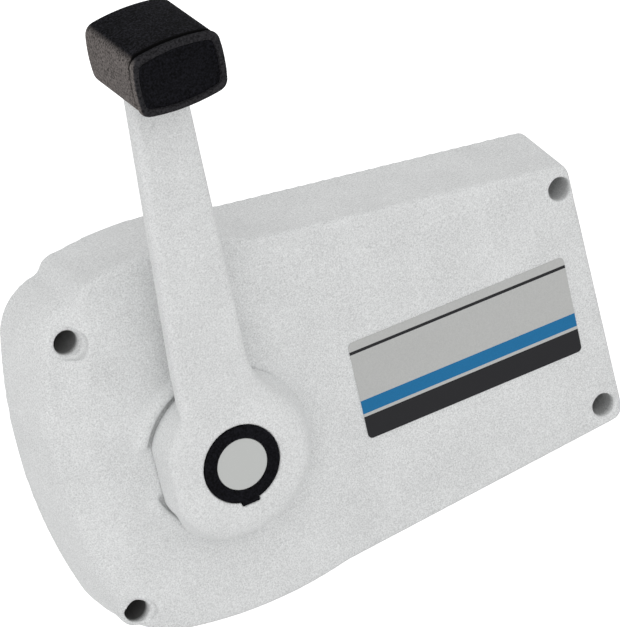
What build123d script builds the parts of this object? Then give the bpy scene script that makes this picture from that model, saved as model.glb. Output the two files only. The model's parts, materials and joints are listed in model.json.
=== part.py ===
from build123d import *
from math import acos, atan2, copysign, cos, degrees, hypot, pi, radians, sin, sqrt, tan
import os

# Single-lever engine control for a boat, mounted on the side of the cockpit.
# Millimetres. The origin is where the lever's shaft axis meets the mounting wall.
# X runs along the housing to its narrow end, Y runs into the wall, Z is up.
# "Height" below always means the distance in front of the wall, along -Y.

# ---------------------------------------------------------------- driving dimensions
face_h = 42.0            # front face of the housing
wall = 3.0               # moulded wall thickness
rib_deep = 3.5           # ribs behind the front face, clear of the moving parts
edge_r = 2.4             # rounding along the front edge
end_x = 189.0            # narrow end of the housing, level with the shaft
end_lean = 1.6           # the narrow end leans out this much towards its lower corner
end_draft = 2.0          # and it is this much longer at the wall than at the face
wedge_z = 61.0           # where the flat face bends back towards the top wall
wedge_angle = 7.0
wedge_x = (21.0, 200.0)

bolt_x_right, bolt_z_right = 181.0, (54.0, -54.0)
bolt_x_left, bolt_z_left = -53.0, (69.8, -61.5)
bolt_hole_r = 3.25
bolt_head_r = 5.5
bolt_seat_h = 12.0       # screw heads seat this far in front of the wall
bolt_boss_r = 8.2
spot_r = 7.4             # the two left holes are spot-faced where the flank falls away
spot_h = (34.5, 37.0)

collar_r, collar_in_r, collar_h = 39.4, 35.3, 43.8
collar_slope = 1.2       # its outer side slopes out by this much
collar_gap_z = (-10.5, 13.5)
groove_h = 40.6

hub_r, hub_back, hub_front = 34.0, 42.5, 63.5
hub_flat_x = -31.2
hub_round = 6.0
arm_lean = 5.7           # the arm leans away from the wall as it rises
arm_start_z = 30.0
arm_thick = 10.0
arm_round = 3.4
arm_len = 168.0
arm_root_x = (-20.9, 13.7)
arm_tip_x = (-14.2, 10.9)

knob_w, knob_d, knob_t = 38.4, 47.8, 25.2
knob_mid_x, knob_mid_s, knob_mid_n = -0.5, 166.7, 2.0
knob_back_mid = (-2.0, 167.1)
knob_screw_s, knob_screw_seat = 158.0, -13.0

button_r, button_in_r = 17.6, 11.9
button_back, button_front = 57.5, 63.8
button_key_w, button_key_r = 8.0, 19.0
button_floor = 52.6

shaft_r = 7.0
square = 9.8
bush_r = 9.0
bush_flange_h = 31.8
boss_h = 33.0
plate_t = 3.0
plate_gap = 1.5          # clear of the drafted side wall all round
rear_bush_top = 11.0

gear_module = 1.5
drive_teeth, throttle_teeth = 28, 42
backlash = 0.3
pressure = radians(20)
throttle_x = gear_module * (drive_teeth + throttle_teeth) / 2 + 0.25
stud_r = 5.0
crank_r = 38.0
shift_r = 34.0

disc_h = (11.4, 16.4)
gear_hub_h = (16.6, 24.6)
gear_h = (17.6, 23.6)
crank_h = (24.8, 30.4)
washer_h = (30.5, 31.5)
disc_r = 20.0

anchor_x = (140.0, 158.0)
anchor_z = 44.0
anchor_split_h = 20.0
cable_z = 22.0
cable_r = 4.5

label_size = (108.6, 46.9)
label_mid = (121.4, -0.3)

os.makedirs("parts", exist_ok=True)


def at(height):
    """Drawing plane parallel to the wall: x along the housing, y up, facing the user."""
    return Plane.XZ.offset(height)


def save(piece, name):
    piece.part.label = name
    export_step(piece.part, f"parts/{name}.step")


# ---------------------------------------------------------------- housing outline
# The same outline at the wall and at the front face, in x and z. The sides are drafted
# straight. The flank at the left rolls over from the face to the wall, lobe and all.
wall_sides = [(45, -78.8), (end_x, -65.6), (end_x, 68.4), (37, 88.9), (-3, 97.7), (-38, 96), (-5, -81.9)]
face_sides = [(45, -76.5), (end_x, -63.9), (end_x, 64.5), (37, 84.5), (-3, 97), (-38, 95), (-5, -80.5)]
wall_flank = [
    (-46.6, 91.4), (-48.4, 89.8), (-61.6, 84.2), (-71, 68),
    (-76.3, 5), (-65.2, -57), (-58, -69.8), (-45, -77.8),
]
face_flank = [
    (-45.5, 88), (-46.4, 79), (-47.1, 73), (-48.6, 67),
    (-60, -1), (-50.5, -52), (-46, -63.5), (-38, -73),
]
flank_bulge = 2.3        # 2 rolls over as an ellipse, more stays fuller
roll_heights = [0, 14, 24, 31, 36, 39.6]
edge_steps = 4


def mix(points, others, share):
    """Points on the way from one list to another."""
    return [(x + (u - x) * share, z + (v - z) * share) for (x, z), (u, v) in zip(points, others)]


def inward(point, inset):
    """Move a point of an outline towards the inside, straight or towards the hub."""
    x, z = point
    if x > 0:
        return x, z - copysign(inset, z)
    reach = hypot(x, z - 5)
    return x - inset * x / reach, z - inset * (z - 5) / reach


def section(height, inset=0.0, drawn_at=None):
    """Outline of the housing at a height, anticlockwise, every one with the same edges."""
    part_up = height / face_h
    above = max(0.0, height - (face_h - edge_r))
    side_inset = inset + edge_r - sqrt(edge_r**2 - above**2)
    sides = mix(wall_sides, face_sides, part_up)
    roll = (1 - part_up**flank_bulge) ** (1 / flank_bulge)
    flank = [inward(p, inset) for p in mix(face_flank, wall_flank, roll)]
    low, (_, rise), (_, right_top), *crown, belly = [inward(p, side_inset) for p in sides]
    end = end_x + end_draft * (1 - part_up) - side_inset
    end_low, end_high = end + end_lean, end - end_lean
    with BuildSketch(at(height if drawn_at is None else drawn_at)) as outline:
        with BuildLine():
            Line(low, (end_low - 5.5, rise))
            RadiusArc((end_low - 5.5, rise), (end_low, rise + 6), -6)
            Line((end_low, rise + 6), (end_high, right_top - 6))
            RadiusArc((end_high, right_top - 6), (end_high - 4.5, right_top), -6)
            Line((end_high - 4.5, right_top), crown[0])
            ThreePointArc(*crown)
            RadiusArc(crown[2], flank[0], -8)
            Line(flank[0], flank[1])
            ThreePointArc(*flank[1:4])
            ThreePointArc(*flank[3:6])
            ThreePointArc(*flank[5:8])
            ThreePointArc(flank[7], belly, low)
        make_face()
    return outline.sketch


def wedge_profile(drop):
    """Side view of what the tilted upper part of the face leaves open."""
    rise = 50.0
    with BuildSketch(Plane.YZ.offset(wedge_x[0])) as profile:
        with BuildLine():
            Polyline(
                (-face_h + drop, wedge_z), (-face_h + drop - 6, wedge_z),
                (-face_h + drop - 6, wedge_z + rise),
                (-face_h + drop + rise * tan(radians(wedge_angle)), wedge_z + rise),
                (-face_h + drop, wedge_z),
            )
        make_face()
    return profile.sketch


def bolt_points():
    return [(bolt_x_right, z) for z in bolt_z_right] + [(bolt_x_left, z) for z in bolt_z_left]


plate_screw_points = [(-26, 78), (112, 62), (112, -58), (-22, -66)]

# space inside the housing, with the bosses and ribs left standing
with BuildPart() as cavity:
    for low, high in zip(roll_heights, roll_heights[1:] + [face_h]):
        loft(sections=[section(h, wall, h - wall) for h in (low, high)], ruled=True)
    extrude(wedge_profile(wall), amount=wedge_x[1] - wedge_x[0], mode=Mode.SUBTRACT)
    with BuildSketch(at(-2)):
        with Locations(*bolt_points()):
            Circle(bolt_boss_r)
    extrude(amount=face_h + 4, mode=Mode.SUBTRACT)
    with BuildSketch(at(plate_t)):
        with Locations(*plate_screw_points):
            Circle(4.5)
    extrude(amount=face_h, mode=Mode.SUBTRACT)
    with BuildSketch(at(boss_h)):
        Circle(14)
    extrude(amount=10, mode=Mode.SUBTRACT)
    with BuildSketch(at(face_h - wall - rib_deep)):
        for x in (94, 118, 142, 166):
            with Locations((x, 0)):
                Rectangle(2, 200)
        with Locations((138, -24), (138, 24)):
            Rectangle(104, 2)
    extrude(amount=10, mode=Mode.SUBTRACT)

with BuildPart() as housing_shell:
    turns = [radians(90 * (k + 1) / edge_steps) for k in range(edge_steps)]
    heights = roll_heights + [face_h - edge_r + edge_r * sin(turn) for turn in turns]
    for low, high in zip(heights, heights[1:]):
        loft(sections=[section(low), section(high)], ruled=True)
    extrude(wedge_profile(0), amount=wedge_x[1] - wedge_x[0], mode=Mode.SUBTRACT)
    # low collar round the lever's hub, open beside the hub's flat
    with BuildSketch(at(face_h - 1)):
        Circle(collar_r + 2 * collar_slope)
    extrude(amount=collar_h - face_h + 1, taper=degrees(atan2(2 * collar_slope, collar_h - face_h + 1)))
    gap_mid = sum(collar_gap_z) / 2
    with BuildSketch(at(face_h)):
        Circle(collar_in_r)
        with Locations((-hub_r - 4, gap_mid)):
            Rectangle(20, collar_gap_z[1] - collar_gap_z[0])
    extrude(amount=4, mode=Mode.SUBTRACT)
    with BuildSketch(at(groove_h)):
        Circle(collar_in_r)
        Circle(collar_in_r - 5, mode=Mode.SUBTRACT)
        with Locations((-hub_r - 4, gap_mid)):
            Rectangle(16, collar_gap_z[1] - collar_gap_z[0], mode=Mode.SUBTRACT)
    extrude(amount=4, mode=Mode.SUBTRACT)
    add(cavity.part, mode=Mode.SUBTRACT)
    with BuildSketch(at(0)):
        Circle(bush_r)
    extrude(amount=face_h + 5, mode=Mode.SUBTRACT)
    with BuildSketch(at(0)):
        with Locations(*bolt_points()):
            Circle(bolt_hole_r)
    extrude(amount=face_h + 5, mode=Mode.SUBTRACT)
    with BuildSketch(at(bolt_seat_h)):
        with Locations(*bolt_points()):
            Circle(bolt_head_r)
    extrude(amount=face_h, mode=Mode.SUBTRACT)
    for z, height in zip(bolt_z_left, spot_h):
        with BuildSketch(at(height)):
            with Locations((bolt_x_left, z)):
                Circle(spot_r)
        extrude(amount=face_h, mode=Mode.SUBTRACT)
    with BuildSketch(at(plate_t)):
        with Locations(*plate_screw_points):
            Circle(1.6)
    extrude(amount=12, mode=Mode.SUBTRACT)
    # way out for the two cables, in the narrow end
    with BuildSketch(Plane.YZ.offset(end_x - 8)):
        with Locations((-8, 0)):
            RectangleRounded(24, 68, 4)
    extrude(amount=12, mode=Mode.SUBTRACT)
save(housing_shell, "housing_shell")
# ---------------------------------------------------------------- back plate and bearings
with BuildPart() as back_plate:
    with BuildSketch(at(0)):
        add(section(0, wall + plate_gap))
        with Locations(*bolt_points()):
            Circle(bolt_boss_r + 0.6, mode=Mode.SUBTRACT)
        with Locations((end_x, 0)):
            Rectangle(34, 200, mode=Mode.SUBTRACT)
        with Locations(*plate_screw_points):
            Circle(2.2, mode=Mode.SUBTRACT)
    extrude(amount=plate_t)
    with Locations(*[Location((x, 0, z), (90, 0, 0)) for x, z in plate_screw_points]):
        Cone(4.3, 2.2, 2.1, align=(Align.CENTER, Align.CENTER, Align.MIN), mode=Mode.SUBTRACT)
save(back_plate, "back_plate")

with BuildPart() as plate_screws:
    for x, z in plate_screw_points:
        with BuildSketch(at(0.1)):
            with Locations((x, z)):
                Circle(1.55)
        extrude(amount=13)
        with Locations(Location((x, -0.1, z), (90, 0, 0))):
            Cone(4.0, 1.55, 1.9, align=(Align.CENTER, Align.CENTER, Align.MIN))
save(plate_screws, "plate_screws")

with BuildPart() as front_bush:
    with BuildSketch(at(boss_h)):
        Circle(bush_r)
    extrude(amount=hub_back - boss_h - 0.3)
    with BuildSketch(at(bush_flange_h)):
        Circle(12.5)
    extrude(amount=boss_h - bush_flange_h)
    with BuildSketch(at(bush_flange_h)):
        Circle(shaft_r + 0.05)
    extrude(amount=face_h, mode=Mode.SUBTRACT)
save(front_bush, "front_bush")

with BuildPart() as rear_bush:
    with BuildSketch(at(plate_t)):
        Circle(18)
    extrude(amount=2.5)
    with BuildSketch(at(plate_t + 2.5)):
        Circle(11)
    extrude(amount=rear_bush_top - plate_t - 2.5)
    with BuildSketch(at(plate_t)):
        Circle(shaft_r + 0.05)
        with PolarLocations(14.5, 3, 90):
            Circle(1.6)
    extrude(amount=face_h, mode=Mode.SUBTRACT)
save(rear_bush, "rear_bush")

with BuildPart() as bush_rivets:
    for height, radius, tall in ((plate_t, 1.55, 2.5), (plate_t + 2.5, 2.8, 1.4)):
        with BuildSketch(at(height)):
            with PolarLocations(14.5, 3, 90):
                Circle(radius)
        extrude(amount=tall)
save(bush_rivets, "bush_rivets")

# ---------------------------------------------------------------- main shaft and what it turns
with BuildPart() as main_shaft:
    with BuildSketch(at(plate_t + 0.5)):
        Circle(shaft_r)
    extrude(amount=hub_back - plate_t - 0.5)
    with BuildSketch(at(hub_back)):
        Rectangle(square, square)
    extrude(amount=6.0)
    chamfer(main_shaft.faces().sort_by(Axis.Y)[0].edges(), 0.6)
    with BuildSketch(at(30)):
        Circle(3.05)
    extrude(amount=30, mode=Mode.SUBTRACT)
    with BuildSketch(at(disc_h[0])):
        with Locations((0, shaft_r)):
            Rectangle(3, 3)
    extrude(amount=crank_h[1] - disc_h[0], mode=Mode.SUBTRACT)
save(main_shaft, "main_shaft")

with BuildPart() as shaft_key:
    with BuildSketch(at(disc_h[0] + 0.1)):
        with Locations((0, shaft_r)):
            Rectangle(2.9, 2.9)
    extrude(amount=crank_h[1] - disc_h[0] - 0.2)
save(shaft_key, "shaft_key")


def shaft_hole():
    """Bore with a keyway, cut into the sketch that is open."""
    Circle(shaft_r + 0.03, mode=Mode.SUBTRACT)
    with Locations((0, shaft_r)):
        Rectangle(3, 3.1, mode=Mode.SUBTRACT)


with BuildPart() as detent_disc:
    with BuildSketch(at(disc_h[0])):
        Circle(disc_r)
        for turn in (150, 180, 210):
            with Locations((disc_r * cos(radians(turn)), disc_r * sin(radians(turn)))):
                Circle(2.6, mode=Mode.SUBTRACT)
        shaft_hole()
    extrude(amount=disc_h[1] - disc_h[0])
save(detent_disc, "detent_disc")


def tooth(teeth):
    """Involute tooth pointing along +X, thinned for backlash."""
    pitch_r = gear_module * teeth / 2
    base_r = pitch_r * cos(pressure)
    root_r = pitch_r - 1.25 * gear_module
    tip_r = pitch_r + 0.9 * gear_module
    half = (pi * gear_module / 2 - backlash) / (2 * pitch_r)
    start_r = max(base_r, root_r)
    flank = [(root_r - 0.4, half + tan(pressure) - pressure)]
    for k in range(5):
        r = start_r + (tip_r - start_r) * k / 4
        roll = acos(min(1.0, base_r / r))
        flank.append((r, half + tan(pressure) - pressure - tan(roll) + roll))
    side = [(r * cos(a), r * sin(a)) for r, a in flank]
    with BuildSketch(Plane.XY) as profile:
        with BuildLine():
            Polyline(*side, *[(x, -y) for x, y in reversed(side)], close=True)
        make_face()
    return profile.sketch, root_r


drive_tooth, drive_root = tooth(drive_teeth)
throttle_tooth, throttle_root = tooth(throttle_teeth)

with BuildPart() as drive_gear:
    with BuildSketch(at(gear_h[0])):
        Circle(drive_root)
        for k in range(drive_teeth):
            add(drive_tooth, rotation=360 * (k + 0.5) / drive_teeth)
        shaft_hole()
    extrude(amount=gear_h[1] - gear_h[0])
    with BuildSketch(at(gear_hub_h[0])):
        Circle(11.5)
        shaft_hole()
    extrude(amount=gear_hub_h[1] - gear_hub_h[0])
save(drive_gear, "drive_gear")

with BuildPart() as shift_crank:
    with BuildSketch(at(crank_h[0])):
        Circle(12)
        with Locations((0, -shift_r)):
            Circle(6)
        with BuildLine():
            Polyline((-10, 0), (10, 0), (5, -shift_r), (-5, -shift_r), close=True)
        make_face()
        shaft_hole()
        with Locations((0, -shift_r)):
            Circle(2.5, mode=Mode.SUBTRACT)
    extrude(amount=crank_h[1] - crank_h[0])
save(shift_crank, "shift_crank")

with BuildPart() as thrust_washer:
    with BuildSketch(at(washer_h[0])):
        Circle(12)
        Circle(shaft_r + 0.1, mode=Mode.SUBTRACT)
    extrude(amount=washer_h[1] - washer_h[0])
save(thrust_washer, "thrust_washer")


def cable_pin(x, z, low, seat):
    """Shouldered pin for a cable's end, with a groove near its tip."""
    with BuildPart() as pin:
        for start, end, radius in ((low, seat, 2.5), (seat, seat + 7.5, 3.0), (seat, seat + 1, 4.2)):
            with BuildSketch(at(start)):
                with Locations((x, z)):
                    Circle(radius)
            extrude(amount=end - start)
        with BuildSketch(at(seat + 5.6)):
            with Locations((x, z)):
                Circle(4)
                Circle(2.4, mode=Mode.SUBTRACT)
        extrude(amount=0.9, mode=Mode.SUBTRACT)
    return pin


shift_pin = cable_pin(0, -shift_r, crank_h[0], crank_h[1])
save(shift_pin, "shift_cable_pin")

# ---------------------------------------------------------------- throttle side
sector_half = 76.0       # half the angle that the throttle gear's teeth cover
with BuildPart() as throttle_gear:
    with BuildSketch(at(gear_h[0])):
        reach = throttle_root * 3
        half = radians(sector_half)
        Circle(throttle_root)
        with BuildLine():
            Polyline((0, 0), (-reach * cos(half), reach * sin(half)), (-reach, reach),
                     (-reach, -reach), (-reach * cos(half), -reach * sin(half)), close=True)
        make_face(mode=Mode.INTERSECT)
        pitch_turn = 360 / throttle_teeth
        count = int(2 * sector_half / pitch_turn)
        for k in range(count):
            add(throttle_tooth, rotation=180 + (k - (count - 1) / 2) * pitch_turn)
        with PolarLocations(throttle_root - 12, 3, 180 - 40, 80, endpoint=True):
            Circle(5.5, mode=Mode.SUBTRACT)
        Circle(10)
        with Locations((0, crank_r)):
            Circle(6)
        with BuildLine():
            Polyline((-8, 0), (8, 0), (5, crank_r), (-5, crank_r), close=True)
        make_face()
        with Locations((0, crank_r)):
            Circle(2.5, mode=Mode.SUBTRACT)
    extrude(amount=gear_h[1] - gear_h[0])
    with BuildSketch(at(gear_h[0] - 3.2)):
        Circle(10)
    extrude(amount=gear_h[1] - gear_h[0] + 4.2)
    with BuildSketch(at(0)):
        Circle(stud_r + 0.05)
    extrude(amount=face_h, mode=Mode.SUBTRACT)
throttle_gear.part = Pos(throttle_x, 0, 0) * throttle_gear.part
save(throttle_gear, "throttle_gear")

throttle_pin = cable_pin(throttle_x, crank_r, gear_h[0], gear_h[1])
save(throttle_pin, "throttle_cable_pin")

with BuildPart() as throttle_stud:
    stud_base, stud_top = gear_h[0] - 3.5, gear_h[1] + 3.4
    for start, end, radius in ((plate_t, stud_base, 9.0), (stud_base, stud_top, stud_r)):
        with BuildSketch(at(start)):
            with Locations((throttle_x, 0)):
                Circle(radius)
        extrude(amount=end - start)
    with BuildSketch(at(gear_h[1] + 1.3)):
        with Locations((throttle_x, 0)):
            Circle(stud_r + 1)
            Circle(stud_r - 0.8, mode=Mode.SUBTRACT)
    extrude(amount=1.0, mode=Mode.SUBTRACT)
save(throttle_stud, "throttle_stud")

with BuildPart() as stud_clip:
    with BuildSketch(at(gear_h[1] + 1.35)):
        with Locations((throttle_x, 0)):
            Circle(stud_r + 2)
            Circle(stud_r - 0.75, mode=Mode.SUBTRACT)
            with Locations((0, -8)):
                Rectangle(5, 12, mode=Mode.SUBTRACT)
    extrude(amount=0.9)
save(stud_clip, "stud_clip")

# ---------------------------------------------------------------- detent, friction, switch
detent_x = (-56.0, -31.0)
detent_mid_h = sum(disc_h) / 2
plunger_r = 3.6
plunger_tip = -disc_r - 0.4
with BuildPart() as detent_block:
    with BuildSketch(at(plate_t)):
        with Locations((sum(detent_x) / 2, 0)):
            RectangleRounded(detent_x[1] - detent_x[0], 34, 3)
    extrude(amount=3)
    with BuildSketch(at(plate_t + 3)):
        with Locations((sum(detent_x) / 2, 0)):
            RectangleRounded(detent_x[1] - detent_x[0], 15, 2)
    extrude(amount=disc_h[1] + 3 - plate_t - 3)
    with BuildSketch(at(plate_t)):
        with Locations((sum(detent_x) / 2, 12), (sum(detent_x) / 2, -12)):
            Circle(2.0)
    extrude(amount=20, mode=Mode.SUBTRACT)
    with BuildSketch(Plane.YZ.offset(detent_x[0] + 3)):
        with Locations((-detent_mid_h, 0)):
            Circle(plunger_r + 0.1)
    extrude(amount=40, mode=Mode.SUBTRACT)
save(detent_block, "detent_block")

with BuildPart() as detent_plunger:
    with BuildSketch(Plane.YZ.offset(plunger_tip - 22)):
        with Locations((-detent_mid_h, 0)):
            Circle(plunger_r)
    extrude(amount=19.5)
    with BuildSketch(Plane.YZ.offset(plunger_tip - 2.5)):
        with Locations((-detent_mid_h, 0)):
            Circle(2.4)
    extrude(amount=2.5)
    fillet(detent_plunger.faces().sort_by(Axis.X)[-1].edges(), 2.2)
    with BuildSketch(Plane.YZ.offset(plunger_tip - 22)):
        with Locations((-detent_mid_h, 0)):
            Circle(2.5)
    extrude(amount=8, mode=Mode.SUBTRACT)
save(detent_plunger, "detent_plunger")


def coil(radius, wire, pitch, turns):
    """Compression spring of six-sided wire standing on its own Z axis."""
    with BuildPart() as spring:
        with BuildLine():
            path = Helix(pitch, pitch * turns, radius)
        with BuildSketch(Plane(path @ 0, z_dir=path % 0)):
            RegularPolygon(wire, 6)
        sweep(is_frenet=True)
    return spring.part


detent_spring_part = coil(1.8, 0.4, 2.2, 8)
with BuildPart() as detent_spring:
    add(Pos(detent_x[0] + 3.45, -detent_mid_h, 0) * Rot(0, 90, 0) * detent_spring_part)
save(detent_spring, "detent_spring")


def small_screw(x, z, under_head, depth, radius=1.9, head=3.4):
    """Pan head screw driven towards the wall, its head resting at under_head."""
    for start, end, r in ((under_head - depth, under_head, radius), (under_head, under_head + 2.4, head)):
        with BuildSketch(at(start)) as section:
            with Locations((x, z)):
                Circle(r)
        extrude(section.sketch, amount=end - start)
    with BuildSketch(at(under_head + 1.2)) as socket:
        with Locations((x, z)):
            RegularPolygon(1.5, 6)
    extrude(socket.sketch, amount=2, mode=Mode.SUBTRACT)


with BuildPart() as detent_screws:
    for z in (12, -12):
        small_screw(sum(detent_x) / 2, z, plate_t + 3, 3)
save(detent_screws, "detent_screws")

friction_z = -34.0
with BuildPart() as friction_bracket:
    with BuildSketch(at(plate_t)):
        with Locations((0, friction_z - 2)):
            RectangleRounded(30, 22, 3)
    extrude(amount=3)
    with BuildSketch(at(plate_t + 3)):
        with Locations((0, friction_z)):
            RectangleRounded(16, 10, 2)
    extrude(amount=disc_h[1] - plate_t - 3)
    with BuildSketch(Plane.XY.offset(friction_z - 20)):
        with Locations((0, -detent_mid_h)):
            Circle(2.6)
    extrude(amount=40, mode=Mode.SUBTRACT)
save(friction_bracket, "friction_bracket")

with BuildPart() as friction_screw:
    for start, end, r in ((friction_z - 12, friction_z - 8, 4.4), (friction_z - 8, friction_z + 7, 2.5)):
        with BuildSketch(Plane.XY.offset(start)):
            with Locations((0, -detent_mid_h)):
                Circle(r)
        extrude(amount=end - start)
    with BuildSketch(Plane.XY.offset(friction_z - 12)):
        with Locations((0, -detent_mid_h)):
            Rectangle(12, 1)
    extrude(amount=1.2, mode=Mode.SUBTRACT)
save(friction_screw, "friction_screw")

with BuildPart() as friction_pad:
    with BuildSketch(at(disc_h[0] + 0.3)):
        with Locations((0, friction_z + 10.2)):
            Rectangle(14, 6)
        Circle(disc_r + 0.3, mode=Mode.SUBTRACT)
    extrude(amount=disc_h[1] - disc_h[0] - 0.6)
save(friction_pad, "friction_pad")

switch_mid = (0.0, 36.0)
with BuildPart() as neutral_switch:
    with BuildSketch(at(plate_t + 5)):
        with Locations(switch_mid):
            RectangleRounded(28, 16, 1)
            with GridLocations(18, 0, 2, 1):
                Circle(1.6, mode=Mode.SUBTRACT)
    extrude(amount=10)
    with BuildSketch(at(disc_h[0] + 1)):
        with Locations((switch_mid[0] - 5, switch_mid[1] - 9)):
            Rectangle(3, 3)
    extrude(amount=3)
    with BuildSketch(at(disc_h[0] + 0.5)):
        with BuildLine():
            Polyline((-13, switch_mid[1] - 9.2), (8, disc_r + 2.4), (11, disc_r + 1.6),
                     (11, disc_r + 1.0), (7.7, disc_r + 1.8), (-13, switch_mid[1] - 9.8), close=True)
        make_face()
    extrude(amount=4)
    with BuildSketch(at(disc_h[0] - 1)):
        with Locations((-12.2, switch_mid[1] - 9)):
            Rectangle(1.8, 3)
    extrude(amount=6)
save(neutral_switch, "neutral_switch")

with BuildPart() as switch_bracket:
    with BuildSketch(at(plate_t)):
        with Locations(switch_mid):
            RectangleRounded(34, 20, 3)
    extrude(amount=5)
    with BuildSketch(at(plate_t)):
        with Locations(switch_mid):
            with GridLocations(18, 0, 2, 1):
                Circle(1.5)
    extrude(amount=5, mode=Mode.SUBTRACT)
save(switch_bracket, "switch_bracket")

with BuildPart() as switch_screws:
    for side in (-9, 9):
        small_screw(switch_mid[0] + side, switch_mid[1], plate_t + 15, 14, radius=1.45, head=2.8)
save(switch_screws, "switch_screws")

# ---------------------------------------------------------------- cable anchor
anchor_mid = sum(anchor_x) / 2
anchor_w = anchor_x[1] - anchor_x[0]
clamp_holes = [(anchor_mid, z) for z in (-36, 0, 36)]


def cable_seats():
    """The two cables' round seats through the anchor, along X."""
    with BuildSketch(Plane.YZ.offset(anchor_x[0] - 1)) as seats:
        with Locations((-anchor_split_h, cable_z), (-anchor_split_h, -cable_z)):
            Circle(cable_r)
    extrude(seats.sketch, amount=anchor_w + 2, mode=Mode.SUBTRACT)


with BuildPart() as cable_anchor:
    with BuildSketch(at(plate_t)):
        with Locations((anchor_mid, 0)):
            RectangleRounded(anchor_w, 2 * anchor_z, 3)
    extrude(amount=anchor_split_h - plate_t - 0.2)
    cable_seats()
    with BuildSketch(at(anchor_split_h - 13)):
        with Locations(*clamp_holes):
            Circle(1.95)
    extrude(amount=20, mode=Mode.SUBTRACT)
save(cable_anchor, "cable_anchor")

with BuildPart() as cable_clamp:
    with BuildSketch(at(anchor_split_h + 0.2)):
        with Locations((anchor_mid, 0)):
            RectangleRounded(anchor_w, 2 * anchor_z, 3)
    extrude(amount=7)
    cable_seats()
    with BuildSketch(at(anchor_split_h)):
        with Locations(*clamp_holes):
            Circle(2.0)
    extrude(amount=20, mode=Mode.SUBTRACT)
save(cable_clamp, "cable_clamp")

with BuildPart() as clamp_screws:
    for x, z in clamp_holes:
        small_screw(x, z, anchor_split_h + 7.2, 18)
save(clamp_screws, "clamp_screws")

# ---------------------------------------------------------------- lever
lean = radians(arm_lean)
arm_plane = Plane(
    origin=(0, -hub_front, arm_start_z), x_dir=(1, 0, 0), z_dir=(0, -cos(lean), -sin(lean))
)
arm_low = -22.0          # the arm starts inside the hub
flare = (20.0, (21.0, -3.5))   # where the arm's right edge sweeps out into the hub

with BuildPart() as arm_bar:
    with BuildSketch(arm_plane):
        with BuildLine():
            side = Line((arm_tip_x[1], arm_len - 6), (arm_root_x[1], flare[0]))
            TangentArc(side @ 1, flare[1], tangent=side % 1)
            Polyline(flare[1], (arm_root_x[1], arm_low), (arm_root_x[0] - 0.8, arm_low),
                     (arm_tip_x[0], arm_len - 6), (arm_tip_x[1], arm_len - 6))
        make_face()
    extrude(amount=-arm_thick)
    fillet(arm_bar.edges().filter_by(lambda e: e.length > 100), arm_round)

with BuildPart() as lever_arm:
    with BuildSketch(at(hub_back)):
        Circle(hub_r)
        with Locations((hub_flat_x - 10, 0)):
            Rectangle(20, 80, mode=Mode.SUBTRACT)
    extrude(amount=hub_front - hub_back)
    fillet(lever_arm.faces().sort_by(Axis.Y)[0].edges(), hub_round)
    fillet(lever_arm.faces().sort_by(Axis.Y)[-1].edges(), 0.8)
    add(arm_bar.part)
    with BuildSketch(at(button_floor)):
        Circle(button_r + 0.2)
        with Locations((0, -button_key_r / 2)):
            Rectangle(button_key_w + 0.5, button_key_r + 0.5)
    extrude(amount=20, mode=Mode.SUBTRACT)
    with BuildSketch(at(button_floor - 3.6)):
        Circle(9.2)
    extrude(amount=10, mode=Mode.SUBTRACT)
    with BuildSketch(at(hub_back)):
        Rectangle(square + 0.1, square + 0.1)
    extrude(amount=10, mode=Mode.SUBTRACT)
    # screw hole for the knob
    with BuildSketch(arm_plane.offset(-arm_thick)):
        with Locations((knob_mid_x, knob_screw_s)):
            Circle(2.0)
    extrude(amount=8, mode=Mode.SUBTRACT)
save(lever_arm, "lever_arm")

screw_seat = button_floor - 3.6
with BuildPart() as lever_washer:
    with BuildSketch(at(screw_seat)):
        Circle(8.6)
        Circle(3.2, mode=Mode.SUBTRACT)
    extrude(amount=1.2)
save(lever_washer, "lever_washer")

with BuildPart() as lever_screw:
    for start, end, radius in ((32, screw_seat + 1.2, 3.0), (screw_seat + 1.2, screw_seat + 4.2, 5.2)):
        with BuildSketch(at(start)):
            Circle(radius)
        extrude(amount=end - start)
    fillet(lever_screw.faces().sort_by(Axis.Y)[0].edges(), 0.8)
    with BuildSketch(at(screw_seat + 2.2)):
        RegularPolygon(2.3, 6)
    extrude(amount=4, mode=Mode.SUBTRACT)
save(lever_screw, "lever_screw")

# ---------------------------------------------------------------- push button in the hub
with BuildPart() as button_cap:
    with BuildSketch(at(button_back)):
        Circle(button_r)
        with Locations((0, -button_key_r / 2)):
            Rectangle(button_key_w, button_key_r)
    extrude(amount=button_front - button_back)
    fillet(button_cap.faces().sort_by(Axis.Y)[0].edges(), 0.5)
    with BuildSketch(at(button_front - 1.5)):
        Circle(button_in_r)
    extrude(amount=3, mode=Mode.SUBTRACT)
    with BuildSketch(at(button_back)):
        Circle(10.5)
    extrude(amount=3, mode=Mode.SUBTRACT)
save(button_cap, "button_cap")

with BuildPart() as button_disc:
    with BuildSketch(at(button_front - 1.5)):
        Circle(button_in_r - 0.1)
    extrude(amount=1.2)
    fillet(button_disc.faces().sort_by(Axis.Y)[0].edges(), 0.4)
save(button_disc, "button_disc")

spring_seat = screw_seat + 1.2
button_spring_part = coil(7.2, 0.55, 2.2, 4)
with BuildPart() as button_spring:
    add(Pos(0, -spring_seat - 0.6, 0) * Rot(90, 0, 0) * button_spring_part)
save(button_spring, "button_spring")


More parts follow.
